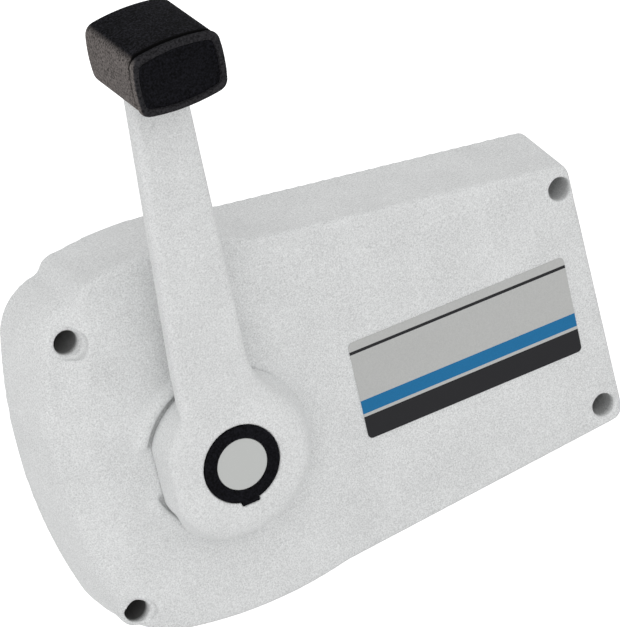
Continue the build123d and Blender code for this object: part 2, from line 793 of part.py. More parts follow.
# ---------------------------------------------------------------- knob
def knob_profile(n, width, thick, crown, corner, middle=None):
    """Cross-section of the knob with gently crowned sides, n in front of the arm's face."""
    x0, s0 = middle or (knob_mid_x, knob_mid_s)
    w, t = width / 2, thick / 2
    with BuildSketch(arm_plane.offset(n)) as profile:
        with BuildLine():
            ThreePointArc((x0 - w, s0 - t), (x0, s0 - t - crown), (x0 + w, s0 - t))
            ThreePointArc((x0 + w, s0 - t), (x0 + w + crown / 2, s0), (x0 + w, s0 + t))
            ThreePointArc((x0 + w, s0 + t), (x0, s0 + t + crown), (x0 - w, s0 + t))
            ThreePointArc((x0 - w, s0 + t), (x0 - w - crown / 2, s0), (x0 - w, s0 - t))
        make_face()
        fillet(profile.vertices(), corner)
    return profile.sketch


knob_back = knob_mid_n - knob_d / 2
knob_front = knob_mid_n + knob_d / 2
lip = 3.4
groove = 1.6
knob_rim = 2.9           # width of the rim round the front panel
with BuildPart() as knob_body:
    loft(sections=[
        knob_profile(knob_back, knob_w - 0.8, knob_t, 2.2, 5.5, knob_back_mid),
        knob_profile(knob_front - lip - groove, knob_w - 0.6, knob_t - 0.4, 2.2, 5.5),
    ], ruled=True)
    fillet(knob_body.faces().sort_by(Axis.Y)[-1].edges(), 5.0)
    extrude(knob_profile(knob_front - lip - groove - 1, knob_w - 3.4, knob_t - 3.2, 2.2, 4),
            amount=groove + 2)
    extrude(knob_profile(knob_front - lip, knob_w, knob_t, 2.2, 5), amount=lip)
    fillet(knob_body.faces().sort_by(Axis.Y)[0].edges(), 1.3)
    extrude(knob_profile(knob_front - 2.4, knob_w - 2 * knob_rim, knob_t - 2 * knob_rim, 2.2, 2.6),
            amount=4, mode=Mode.SUBTRACT)
    # socket for the tip of the arm
    with BuildSketch(arm_plane.offset(0.1)):
        with Locations(((arm_tip_x[0] + arm_tip_x[1]) / 2, arm_len - 20)):
            Rectangle(arm_tip_x[1] - arm_tip_x[0] + 1.4, 28.4)
    extrude(amount=-arm_thick - 0.2, mode=Mode.SUBTRACT)
    # recess and hole for the screw that holds the knob
    for radius, end in ((4.0, knob_screw_seat), (2.2, -arm_thick)):
        with BuildSketch(arm_plane.offset(knob_back - 1)):
            with Locations((knob_mid_x, knob_screw_s)):
                Circle(radius)
        extrude(amount=end - knob_back + 1, mode=Mode.SUBTRACT)
save(knob_body, "knob_body")

with BuildPart() as knob_panel:
    panel_gap = knob_rim + 0.1
    extrude(knob_profile(knob_front - 2.4, knob_w - 2 * panel_gap, knob_t - 2 * panel_gap, 2.2, 2.5),
            amount=1.0)
save(knob_panel, "knob_panel")

with BuildPart() as knob_screw:
    head_low, tip = knob_screw_seat - 2.4, knob_screw_seat + 8.4
    for start, end, radius in ((head_low, knob_screw_seat, 3.6), (knob_screw_seat, tip, 1.95)):
        with BuildSketch(arm_plane.offset(start)):
            with Locations((knob_mid_x, knob_screw_s)):
                Circle(radius)
        extrude(amount=end - start)
    with BuildSketch(arm_plane.offset(head_low)):
        with Locations((knob_mid_x, knob_screw_s)):
            Rectangle(5, 1)
            Rectangle(1, 5)
    extrude(amount=1.2, mode=Mode.SUBTRACT)
save(knob_screw, "knob_screw")

# ---------------------------------------------------------------- trim label
with BuildPart() as trim_label:
    with BuildSketch(at(face_h)):
        with Locations(label_mid):
            RectangleRounded(*label_size, 2.2)
    extrude(amount=0.4)
save(trim_label, "trim_label")
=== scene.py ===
import json
from math import cos, radians, sin

import bpy
import numpy as np
from mathutils import Matrix, Quaternion, Vector


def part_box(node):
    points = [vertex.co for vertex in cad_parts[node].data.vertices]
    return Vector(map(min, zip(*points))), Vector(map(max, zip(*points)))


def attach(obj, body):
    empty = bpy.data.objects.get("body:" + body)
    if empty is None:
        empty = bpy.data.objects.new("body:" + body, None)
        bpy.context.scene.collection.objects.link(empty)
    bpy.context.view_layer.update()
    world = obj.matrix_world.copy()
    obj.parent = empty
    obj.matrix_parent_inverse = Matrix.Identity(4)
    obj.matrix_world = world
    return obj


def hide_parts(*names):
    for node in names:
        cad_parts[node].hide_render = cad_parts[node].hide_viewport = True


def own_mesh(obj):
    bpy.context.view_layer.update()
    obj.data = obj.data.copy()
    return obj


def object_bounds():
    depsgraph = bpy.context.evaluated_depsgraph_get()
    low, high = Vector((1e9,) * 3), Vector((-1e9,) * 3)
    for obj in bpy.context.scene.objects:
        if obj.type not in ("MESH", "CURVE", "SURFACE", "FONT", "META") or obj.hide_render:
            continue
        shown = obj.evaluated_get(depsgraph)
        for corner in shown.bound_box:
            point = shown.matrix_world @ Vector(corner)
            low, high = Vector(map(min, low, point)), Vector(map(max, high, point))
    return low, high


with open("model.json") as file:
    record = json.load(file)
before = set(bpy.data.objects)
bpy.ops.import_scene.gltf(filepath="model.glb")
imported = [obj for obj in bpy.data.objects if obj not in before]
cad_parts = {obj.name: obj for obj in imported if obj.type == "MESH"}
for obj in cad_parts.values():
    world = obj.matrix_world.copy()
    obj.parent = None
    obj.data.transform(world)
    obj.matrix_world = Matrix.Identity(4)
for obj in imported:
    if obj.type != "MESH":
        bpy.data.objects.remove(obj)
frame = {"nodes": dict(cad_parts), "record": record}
cad_low, cad_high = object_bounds()

# ------------------------------------------------------------------ sizes and places, in metres
TARGET = Vector((0.0539, -0.0412, 0.0433))
CAMERA_AZIMUTH = -20.55
CAMERA_ELEVATION = 24.47
CAMERA_DISTANCE = 1.72
CAMERA_ROLL = 13.21
FOCAL_IN_FRAME_HEIGHTS = 4000 / 627
SENSOR = 36.0

# the four fixing holes: X and Z, the Y below which painted shade starts, and how dark each is
# painted
BOLTS = [(-0.053, 0.0698), (-0.053, -0.0615), (0.181, 0.054), (0.181, -0.054)]
MOUTHS = [-0.0335, -0.0335, -0.0405, -0.0405]
HOLE_PAINTED_SHADE_AMOUNTS = [0.75, 0.9, 0.2, 0.4]
HOLE_PAINTED_SHADE_DEPTH = 0.003      # over which the painted shade deepens
HEAD_R = 0.0055          # counterbore for the screw's head
# the rings that complete the rims of the two left holes: inner radii, front ends in Y,
# and the outer radius and back end of both
RIM_INNER = (0.0061, HEAD_R)
RIM_TOPS = (-0.0372, -0.0345)
RIM_R = 0.0077
RIM_LOW = -0.020
HOLE_STILL_R = (0.0070, 0.0100)  # round each hole, from hardly smoothed to fully smoothed

# softened copies: edge of the even mesh, smoothing rounds, share of the faces kept
SOFT_HOUSING = (0.0008, 50, 0.25)
SOFT_LEVER = (0.0006, 40, 0.5)
SOFT_GRIP = (0.0005, 7, 0.6)
# how far towards its neighbours each place moves in a round
HOUSING_SHARE = 0.15
COLLAR_SHARE = 0.35
LEVER_SHARE = 0.25
STILL_SHARE = 0.03

# the flank: where the face's edge and the wall's outline lie at some heights, and how far
# its middle lies behind the solid's
FLANK_Z = (-0.0778, -0.0698, -0.0570, 0.0050, 0.0400, 0.0680, 0.0842, 0.0914)
FLANK_FACE_X = (-0.0350, -0.0405, -0.0490, -0.0598, -0.0555, -0.0480, -0.0460, -0.0455)
FLANK_WALL_X = (-0.0450, -0.0580, -0.0652, -0.0763, -0.0750, -0.0710, -0.0616, -0.0470)
FLANK_DROP = (0.0, 0.0030, 0.0035, 0.0040, 0.0050, 0.0055, 0.0050, 0.0)

HUB_FRONT = -0.0635      # Y of the hub's front face
RIM_DEEP = 0.006         # how far back the rounding of its rim reaches
RIM_LEFT = 0.0026        # the same on the left
POCKET_R = 0.0205        # within this, the button's pocket and its key slot keep their shape
SKIRT = 0.0048           # how much the hub widens towards the housing
SKIRT_END = -0.0442      # Y where the skirt ends, clear of the housing's collar
SKIRT_TURN = (8, 32, 220, 242)   # degrees clockwise from the top: fades in, and out again
SKIRT_LEFT = 0.15        # share of the skirt that is left outside that turn
SLOT_WIDER = (1.06, 1.0, 1.015)  # clearance for the button's key, behind the rim

# springs: the body each one sits on, its joint, that joint's axis and travel, and the seat
SPRINGS = [
    ("button_spring", "lever", "button_push", (0, 1, 0), 0.0040, (0.0, -0.0502, 0.0)),
    ("detent_spring", "base", "detent_lift", (1, 0, 0), 0.0012, (-0.053, 0.0, 0.0)),
]

FLOOR_DROP = 0.22        # the floor lies this far under the object, which hangs on its wall
FLOOR_SIZE = 12.0
FLOOR_GLOW = 0.8         # seen by the camera and in gloss, it keeps the floor white
WORLD_LIGHT = 0.665      # the strength that lights the object
WORLD_SEEN = 1.0         # the strength that the camera and glossy surfaces see
# soft boxes: name, place, side in metres and power in watts
LIGHTS = [
    ("key", (1.2, -1.4, 0.8), 0.9, 1.5),
    ("front_fill", (-0.6, -1.8, 0.9), 1.6, 8.0),
    ("left_fill", (-1.6, -0.3, 0.5), 1.0, 2.6),
]

WHITE = (0.765, 0.775, 0.775)
BLACK_GRIP = (0.0085, 0.0085, 0.0105)
# painted sheen: the grain on the grip's left-facing side made lighter, standing in for light
# reflected off it
GRIP_PAINTED_SHEEN = (0.225, 0.202, 0.192)
# painted highlight along the grip's rim
GRIP_EDGE_HIGHLIGHT = (0.036, 0.035, 0.038)
# painted shade in the groove behind the grip's rim
GRIP_GROOVE_SHADE = (0.002, 0.002, 0.002)
GRIP_LEAN = 5.7          # degrees that the lever's arm leans out, and the grip with it
GRIP_FORWARD = (0.0, -cos(radians(GRIP_LEAN)), -sin(radians(GRIP_LEAN)))
# how far forward the grip's rim reaches, measured from the origin
GRIP_RIM = 0.0635 * cos(radians(GRIP_LEAN)) - 0.030 * sin(radians(GRIP_LEAN)) + 0.0259
# distances behind that rim: the painted highlight along the edge fades out, the groove's painted
# shade fades in on its two sides
EDGE_HIGHLIGHT_BAND = (0.0030, 0.0008)
GROOVE_BACK = (0.0070, 0.0052)
GROOVE_FRONT = (0.0028, 0.0038)
SHEEN_FACING = (-0.35, -0.95)     # X of the surface's normal, from no painted sheen to full painted sheen
SHEEN_LIMIT = -0.005              # the painted sheen lies only to the left of this X
GRAIN_SPECK = (0.25, 0.65)       # heights of the grain, from plain to fully marked by the painted sheen and the painted edge highlight
BLACK_GLOSS = (0.0050, 0.0050, 0.0066)
SILVER = (0.45, 0.46, 0.45)
PRINT_GREY = (0.535, 0.54, 0.53)
# shade painted deep in the fixing holes, where the counterbores lie in shadow
HOLE_SHADE_COLOR = (0.050, 0.048, 0.046)
PRINT_BLACK = (0.008, 0.008, 0.010)
PRINT_BLUE = (0.010, 0.165, 0.375)
# heights up the label, as shares of it, where each colour of the print starts
PRINT_BANDS = [
    (0.0, PRINT_BLACK), (0.232, PRINT_GREY), (0.262, PRINT_BLUE), (0.400, PRINT_GREY),
    (0.880, PRINT_BLACK), (0.912, PRINT_GREY),
]
STEEL = (0.56, 0.57, 0.56)
ZINC = (0.50, 0.52, 0.54)
SINTERED = (0.22, 0.22, 0.225)
BRONZE = (0.42, 0.26, 0.10)
NATURAL_ACETAL = (0.72, 0.70, 0.63)
BLACK_NYLON = (0.020, 0.020, 0.022)
SWITCH_RED = (0.28, 0.02, 0.015)
FIBRE = (0.10, 0.06, 0.04)
BROAD_MOTTLE = 0.15      # share of broad patches in every finish's mottle


# ------------------------------------------------------------------ small helpers for node trees
def node(tree, kind, **values):
    """Add a node, setting its properties and its inputs by name."""
    made = tree.nodes.new(kind)
    for name, value in values.items():
        if hasattr(made, name):
            setattr(made, name, value)
        else:
            made.inputs[name.replace("_", " ")].default_value = value
    return made


def new_group(name, inputs, outputs):
    """An empty shader group with named sockets: (name, socket type, default)."""
    tree = bpy.data.node_groups.new(name, "ShaderNodeTree")
    for label, kind, value in inputs:
        socket = tree.interface.new_socket(label, in_out="INPUT", socket_type=kind)
        socket.default_value = value
    for label, kind in outputs:
        tree.interface.new_socket(label, in_out="OUTPUT", socket_type=kind)
    return tree, tree.nodes.new("NodeGroupInput"), tree.nodes.new("NodeGroupOutput")


def place_group(tree, group, **values):
    """Place a shared group in a material with its own values."""
    made = tree.nodes.new("ShaderNodeGroup")
    made.node_tree = group
    for name, value in values.items():
        made.inputs[name.replace("_", " ")].default_value = value
    return made


# ------------------------------------------------------------------ effects that finishes share
def build_fine_grain():
    """Fine moulded or sprayed grain: a soft mottle for the colour and a bump for the surface."""
    tree, ins, outs = new_group(
        "fine_grain",
        [("Grain Size", "NodeSocketFloat", 0.0005), ("Depth", "NodeSocketFloat", 0.00002),
         ("Mottle", "NodeSocketFloat", 0.03), ("Color", "NodeSocketColor", (0.5, 0.5, 0.5, 1))],
        [("Color", "NodeSocketColor"), ("Normal", "NodeSocketVector"), ("Mask", "NodeSocketFloat")],
    )
    coords = node(tree, "ShaderNodeTexCoord")
    scale = node(tree, "ShaderNodeMath", operation="DIVIDE")
    scale.inputs[0].default_value = 1.0
    tree.links.new(ins.outputs["Grain Size"], scale.inputs[1])
    fine = node(tree, "ShaderNodeTexNoise", Detail=3.0, Roughness=0.6)
    tree.links.new(coords.outputs["Object"], fine.inputs["Vector"])
    tree.links.new(scale.outputs[0], fine.inputs["Scale"])
    broad = node(tree, "ShaderNodeTexNoise", Scale=45.0, Detail=2.0)
    tree.links.new(coords.outputs["Object"], broad.inputs["Vector"])
    both = node(tree, "ShaderNodeMath", operation="MULTIPLY_ADD")
    tree.links.new(broad.outputs["Fac"], both.inputs[0])
    both.inputs[1].default_value = BROAD_MOTTLE
    tree.links.new(fine.outputs["Fac"], both.inputs[2])
    centred = node(tree, "ShaderNodeMath", operation="SUBTRACT")
    tree.links.new(both.outputs[0], centred.inputs[0])
    centred.inputs[1].default_value = 0.5 + BROAD_MOTTLE / 2
    shade = node(tree, "ShaderNodeMath", operation="MULTIPLY_ADD")
    tree.links.new(centred.outputs[0], shade.inputs[0])
    tree.links.new(ins.outputs["Mottle"], shade.inputs[1])
    shade.inputs[2].default_value = 1.0
    above_black = node(tree, "ShaderNodeMath", operation="MAXIMUM")
    tree.links.new(shade.outputs[0], above_black.inputs[0])
    above_black.inputs[1].default_value = 0.1
    tint = node(tree, "ShaderNodeVectorMath", operation="SCALE")
    tree.links.new(ins.outputs["Color"], tint.inputs[0])
    tree.links.new(above_black.outputs[0], tint.inputs["Scale"])
    bump = node(tree, "ShaderNodeBump", Strength=1.0)
    tree.links.new(fine.outputs["Fac"], bump.inputs["Height"])
    tree.links.new(ins.outputs["Depth"], bump.inputs["Distance"])
    tree.links.new(tint.outputs["Vector"], outs.inputs["Color"])
    tree.links.new(bump.outputs["Normal"], outs.inputs["Normal"])
    tree.links.new(fine.outputs["Fac"], outs.inputs["Mask"])
    return tree


GRAIN = build_fine_grain()


def build_hole_painted_shade():
    """Painted shade down a round hole that runs along Y: 0 outside it and at its mouth, 1 deep
    inside.
    """
    tree, ins, outs = new_group(
        "hole_painted_shade",
        [("Hole X", "NodeSocketFloat", 0.0), ("Hole Z", "NodeSocketFloat", 0.0),
         ("Hole Radius", "NodeSocketFloat", 0.005), ("Mouth Y", "NodeSocketFloat", 0.0),
         ("Depth", "NodeSocketFloat", 0.004), ("Amount", "NodeSocketFloat", 1.0)],
        [("Mask", "NodeSocketFloat")],
    )
    coords = node(tree, "ShaderNodeTexCoord")
    place = node(tree, "ShaderNodeSeparateXYZ")
    tree.links.new(coords.outputs["Object"], place.inputs[0])
    middle = node(tree, "ShaderNodeCombineXYZ")
    tree.links.new(ins.outputs["Hole X"], middle.inputs["X"])
    tree.links.new(ins.outputs["Hole Z"], middle.inputs["Z"])
    level = node(tree, "ShaderNodeCombineXYZ")
    tree.links.new(place.outputs["X"], level.inputs["X"])
    tree.links.new(place.outputs["Z"], level.inputs["Z"])
    reach = node(tree, "ShaderNodeVectorMath", operation="DISTANCE")
    tree.links.new(level.outputs[0], reach.inputs[0])
    tree.links.new(middle.outputs[0], reach.inputs[1])
    inside = node(tree, "ShaderNodeMath", operation="LESS_THAN")
    tree.links.new(reach.outputs["Value"], inside.inputs[0])
    tree.links.new(ins.outputs["Hole Radius"], inside.inputs[1])
    below = node(tree, "ShaderNodeMath", operation="SUBTRACT")
    tree.links.new(place.outputs["Y"], below.inputs[0])
    tree.links.new(ins.outputs["Mouth Y"], below.inputs[1])
    deep = node(tree, "ShaderNodeMath", operation="DIVIDE", use_clamp=True)
    tree.links.new(below.outputs[0], deep.inputs[0])
    tree.links.new(ins.outputs["Depth"], deep.inputs[1])
    both = node(tree, "ShaderNodeMath", operation="MULTIPLY")
    tree.links.new(inside.outputs[0], both.inputs[0])
    tree.links.new(deep.outputs[0], both.inputs[1])
    scaled = node(tree, "ShaderNodeMath", operation="MULTIPLY")
    tree.links.new(both.outputs[0], scaled.inputs[0])
    tree.links.new(ins.outputs["Amount"], scaled.inputs[1])
    tree.links.new(scaled.outputs[0], outs.inputs["Mask"])
    return tree


HOLE_PAINTED_SHADE = build_hole_painted_shade()


# ------------------------------------------------------------------ finishes
def new_material(name):
    """A material with its node tree and its shader."""
    made = bpy.data.materials.new(name)
    made.use_nodes = True
    tree = made.node_tree
    shader = tree.nodes["Principled BSDF"]
    return made, tree, shader


def grained(name, color, grain_size, depth, mottle, roughness, spread, **sockets):
    """Plastic, paint or metal with the shared grain. Roughness varies by spread over the grain."""
    made, tree, shader = new_material(name)
    grain = place_group(tree, GRAIN, Grain_Size=grain_size, Depth=depth, Mottle=mottle,
                        Color=(*color, 1.0))
    tree.links.new(grain.outputs["Color"], shader.inputs["Base Color"])
    tree.links.new(grain.outputs["Normal"], shader.inputs["Normal"])
    rough = node(tree, "ShaderNodeMath", operation="MULTIPLY_ADD")
    tree.links.new(grain.outputs["Mask"], rough.inputs[0])
    rough.inputs[1].default_value = spread
    rough.inputs[2].default_value = roughness - spread / 2
    tree.links.new(rough.outputs[0], shader.inputs["Roughness"])
    for label, value in sockets.items():
        shader.inputs[label.replace("_", " ")].default_value = value
    return made




def white_with_painted_hole_shade():
    """White moulding with shade painted deep in its fixing holes."""
    made = grained("white_housing", WHITE, 0.00062, 0.00005, 1.15, 0.60, 0.1,
                   Specular_IOR_Level=0.3)
    tree = made.node_tree
    shader = tree.nodes["Principled BSDF"]
    grain = next(n for n in tree.nodes if n.type == "GROUP")
    color = grain.outputs["Color"]
    # the deep counterbores are painted darker, standing in for their shade
    for (x, z), mouth, amount in zip(BOLTS, MOUTHS, HOLE_PAINTED_SHADE_AMOUNTS):
        painted_shade = place_group(tree, HOLE_PAINTED_SHADE, Hole_X=x, Hole_Z=z, Hole_Radius=HEAD_R + 0.0005,
                            Mouth_Y=mouth, Depth=HOLE_PAINTED_SHADE_DEPTH, Amount=amount)
        blend = node(tree, "ShaderNodeMix", data_type="RGBA")
        tree.links.new(painted_shade.outputs["Mask"], blend.inputs["Factor"])
        tree.links.new(color, blend.inputs[6])
        blend.inputs[7].default_value = (*HOLE_SHADE_COLOR, 1.0)
        color = blend.outputs[2]
    tree.links.new(color, shader.inputs["Base Color"])
    return made


white_housing = white_with_painted_hole_shade()
white_lever = grained("white_lever", WHITE, 0.00065, 0.00005, 1.05, 0.60, 0.1,
                      Specular_IOR_Level=0.3)
black_gloss = grained("black_gloss", BLACK_GLOSS, 0.0008, 0.00004, 7.0, 0.45, 0.1,
                      Specular_IOR_Level=0.03)
silver_disc = grained("silver_disc", SILVER, 0.0004, 0.00001, 0.08, 0.38, 0.1, Metallic=0.4)
stainless = grained("stainless", STEEL, 0.0004, 0.00001, 0.1, 0.28, 0.1, Metallic=1.0)
zinc_steel = grained("zinc_steel", ZINC, 0.0015, 0.00001, 0.3, 0.40, 0.2, Metallic=1.0)
sintered = grained("sintered", SINTERED, 0.0005, 0.00003, 0.3, 0.50, 0.2, Metallic=1.0)
bronze = grained("bronze", BRONZE, 0.0005, 0.00002, 0.3, 0.45, 0.2, Metallic=1.0)
acetal = grained("acetal", NATURAL_ACETAL, 0.0010, 0.00001, 0.05, 0.40, 0.1)
black_nylon = grained("black_nylon", BLACK_NYLON, 0.0008, 0.00002, 0.3, 0.50, 0.1)
switch_red = grained("switch_red", SWITCH_RED, 0.0008, 0.00001, 0.2, 0.35, 0.1)
fibre = grained("fibre", FIBRE, 0.0012, 0.00005, 0.8, 0.80, 0.1)


def grip_with_painted_light():
    """Coarse black grip, with a painted sheen in its grain on the side that faces left, a painted
    highlight along its rim and painted shade in its groove.
    """
    made = grained("black_grip", BLACK_GRIP, 0.0009, 0.00015, 10.0, 0.70, 0.2,
                   Specular_IOR_Level=0.025)
    tree = made.node_tree
    shader = tree.nodes["Principled BSDF"]
    grain = next(n for n in tree.nodes if n.type == "GROUP")
    # painted sheen on the grain of the left-facing side
    coords = node(tree, "ShaderNodeTexCoord")
    facing = node(tree, "ShaderNodeSeparateXYZ")
    tree.links.new(coords.outputs["Normal"], facing.inputs[0])
    side = node(tree, "ShaderNodeMapRange", interpolation_type="SMOOTHSTEP")
    tree.links.new(facing.outputs["X"], side.inputs["Value"])
    side.inputs["From Min"].default_value, side.inputs["From Max"].default_value = SHEEN_FACING
    speck = node(tree, "ShaderNodeMapRange")
    tree.links.new(grain.outputs["Mask"], speck.inputs["Value"])
    speck.inputs["From Min"].default_value, speck.inputs["From Max"].default_value = GRAIN_SPECK
    axes = node(tree, "ShaderNodeSeparateXYZ")
    tree.links.new(coords.outputs["Object"], axes.inputs[0])
    outside = node(tree, "ShaderNodeMath", operation="LESS_THAN")
    tree.links.new(axes.outputs["X"], outside.inputs[0])
    outside.inputs[1].default_value = SHEEN_LIMIT
    painted_sheen = node(tree, "ShaderNodeMath", operation="MULTIPLY")
    tree.links.new(side.outputs["Result"], painted_sheen.inputs[0])
    tree.links.new(speck.outputs["Result"], painted_sheen.inputs[1])
    painted_sheen_outside = node(tree, "ShaderNodeMath", operation="MULTIPLY")
    tree.links.new(painted_sheen.outputs[0], painted_sheen_outside.inputs[0])
    tree.links.new(outside.outputs[0], painted_sheen_outside.inputs[1])
    forward = node(tree, "ShaderNodeVectorMath", operation="DOT_PRODUCT")
    tree.links.new(coords.outputs["Object"], forward.inputs[0])
    forward.inputs[1].default_value = GRIP_FORWARD

    def fade(behind_rim):
        """0 to 1 between two distances behind the grip's rim."""
        band = node(tree, "ShaderNodeMapRange", interpolation_type="SMOOTHSTEP")
        tree.links.new(forward.outputs["Value"], band.inputs["Value"])
        band.inputs["From Min"].default_value = GRIP_RIM - behind_rim[0]
        band.inputs["From Max"].default_value = GRIP_RIM - behind_rim[1]
        return band.outputs["Result"]

    # painted highlight along the rim's edge, on the grain
    edge_highlight = node(tree, "ShaderNodeMath", operation="MULTIPLY")
    tree.links.new(fade(EDGE_HIGHLIGHT_BAND), edge_highlight.inputs[0])
    tree.links.new(speck.outputs["Result"], edge_highlight.inputs[1])
    # painted shade in the groove behind the rim
    groove = node(tree, "ShaderNodeMath", operation="MULTIPLY")
    tree.links.new(fade(GROOVE_BACK), groove.inputs[0])
    tree.links.new(fade(GROOVE_FRONT), groove.inputs[1])
    dark = node(tree, "ShaderNodeMix", data_type="RGBA")
    tree.links.new(groove.outputs[0], dark.inputs["Factor"])
    tree.links.new(grain.outputs["Color"], dark.inputs[6])
    dark.inputs[7].default_value = (*GRIP_GROOVE_SHADE, 1.0)
    edge = node(tree, "ShaderNodeMix", data_type="RGBA")
    tree.links.new(edge_highlight.outputs[0], edge.inputs["Factor"])
    tree.links.new(dark.outputs[2], edge.inputs[6])
    edge.inputs[7].default_value = (*GRIP_EDGE_HIGHLIGHT, 1.0)
    blend = node(tree, "ShaderNodeMix", data_type="RGBA")
    tree.links.new(painted_sheen_outside.outputs[0], blend.inputs["Factor"])
    tree.links.new(edge.outputs[2], blend.inputs[6])
    blend.inputs[7].default_value = (*GRIP_PAINTED_SHEEN, 1.0)
    tree.links.new(blend.outputs[2], shader.inputs["Base Color"])
    return made


def printed_label():
    """Grey film printed with plain stripes along its whole length: black, blue and a pin-line."""
    made = grained("label_film", PRINT_GREY, 0.0006, 0.00002, 0.30, 0.50, 0.1,
                   Specular_IOR_Level=0.2)
    tree = made.node_tree
    grain = next(n for n in tree.nodes if n.type == "GROUP")
    coords = node(tree, "ShaderNodeTexCoord")
    axes = node(tree, "ShaderNodeSeparateXYZ")
    tree.links.new(coords.outputs["Object"], axes.inputs[0])
    up = node(tree, "ShaderNodeMapRange")
    tree.links.new(axes.outputs["Z"], up.inputs["Value"])
    low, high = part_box("trim_label")
    up.inputs["From Min"].default_value = low[2]
    up.inputs["From Max"].default_value = high[2]
    bands = node(tree, "ShaderNodeValToRGB")
    bands.color_ramp.interpolation = "CONSTANT"
    stops = bands.color_ramp.elements
    for place, color in PRINT_BANDS[:2]:
        stop = stops[0] if place == 0 else stops[1]
        stop.position = place
        stop.color = (*color, 1.0)
    for place, color in PRINT_BANDS[2:]:
        stops.new(place).color = (*color, 1.0)
    tree.links.new(up.outputs["Result"], bands.inputs["Fac"])
    tree.links.new(bands.outputs["Color"], grain.inputs["Color"])
    return made


black_grip = grip_with_painted_light()
label_film = printed_label()

FINISH_OF_SLOT = {
    "white_housing": white_housing, "white_lever": white_lever, "black_grip": black_grip,
    "black_gloss": black_gloss, "silver_disc": silver_disc, "label_film": label_film,
    "zinc_steel": zinc_steel, "stainless": stainless, "shaft_steel": stainless,
    "acetal": acetal, "black_nylon": black_nylon, "sintered": sintered, "bronze": bronze,
    "pad": fibre, "switch_red": switch_red,
}
for part in frame["record"]["subparts"]:
    mesh = frame["nodes"][part["node"]].data
    mesh.materials.clear()
    mesh.materials.append(FINISH_OF_SLOT[part["material_slot"]])


# ------------------------------------------------------------------ softened mouldings
# The white mouldings and the grip have no sharp edge anywhere. Each gets an even mesh of
# its own solid, whose edges are then smoothed by as much as each place needs.
def evened(node_name, voxel, fillers=()):
    """Even mesh of a CAD node, with the filler pieces melted in."""
    bpy.ops.object.select_all(action="DESELECT")
    piece = frame["nodes"][node_name].copy()
    piece.data = piece.data.copy()
    piece.name = node_name + "_soft"
    bpy.context.scene.collection.objects.link(piece)
    for filler in fillers:
        filler.select_set(True)
    piece.select_set(True)
    bpy.context.view_layer.objects.active = piece
    if fillers:
        bpy.ops.object.join()
    remesh = piece.modifiers.new("even", "REMESH")
    remesh.mode = "VOXEL"
    remesh.voxel_size = voxel
    work_in(piece)
    return piece


def work_in(piece):
    """Make what the modifiers show the piece's own mesh."""
    graph = bpy.context.evaluated_depsgraph_get()
    mesh = bpy.data.meshes.new_from_object(piece.evaluated_get(graph))
    piece.modifiers.clear()
    piece.data = mesh


def places_of(mesh):
    """The vertices' places, one row each."""
    flat = np.empty(len(mesh.vertices) * 3)
    mesh.vertices.foreach_get("co", flat)
    return flat.reshape(-1, 3)


def smoothed(mesh, places, share, rounds):
    """Move every place towards the middle of its neighbours, by its own share of the way."""
    ends = np.empty(len(mesh.edges) * 2, dtype=int)
    mesh.edges.foreach_get("vertices", ends)
    a, b = ends.reshape(-1, 2).T
    count = len(places)
    neighbours = np.bincount(a, minlength=count) + np.bincount(b, minlength=count)
    for _ in range(rounds):
        total = np.stack([
            np.bincount(a, places[b, k], count) + np.bincount(b, places[a, k], count)
            for k in range(3)
        ], axis=1)
        places = places + 0.5 * share[:, None] * (total / neighbours[:, None] - places)
    return places


def ramp(values, start, end):
    """0 before start, 1 after end, smooth between them. It also runs downwards."""
    t = np.clip((values - start) / (end - start), 0, 1)
    return t * t * (3 - 2 * t)


def finish_soft(piece, places, kept, body, node_name, slot_name):
    """Write the places back, thin the mesh and let it stand for its CAD node."""
    piece.data.vertices.foreach_set("co", places.ravel())
    thin = piece.modifiers.new("thin", "DECIMATE")
    thin.ratio = kept
    work_in(piece)
    piece.data.shade_smooth()
    piece.data.materials.clear()
    piece.data.materials.append(FINISH_OF_SLOT[slot_name])
    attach(piece, body)
    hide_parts(node_name)


def rim_filler(x, z, inner, top):
    """Ring that completes a fixing hole's rim where the flank falls away beside it."""
    points, faces = [], []
    steps = 48
    for k in range(steps):
        turn = radians(360 * k / steps)
        for reach, y in ((inner, RIM_LOW), (inner, top), (RIM_R, RIM_LOW), (RIM_R, top + 0.001)):
            points.append((x + reach * cos(turn), y, z + reach * sin(turn)))
    for k in range(steps):
        i, j = 4 * k, 4 * ((k + 1) % steps)
        faces += [(i, i + 1, j + 1, j), (i + 1, i + 3, j + 3, j + 1),
                  (i + 3, i + 2, j + 2, j + 3), (i + 2, i, j, j + 2)]
    mesh = bpy.data.meshes.new("rim_filler")
    mesh.from_pydata(points, [], faces)
    filler = bpy.data.objects.new("rim_filler", mesh)
    bpy.context.scene.collection.objects.link(filler)
    return filler


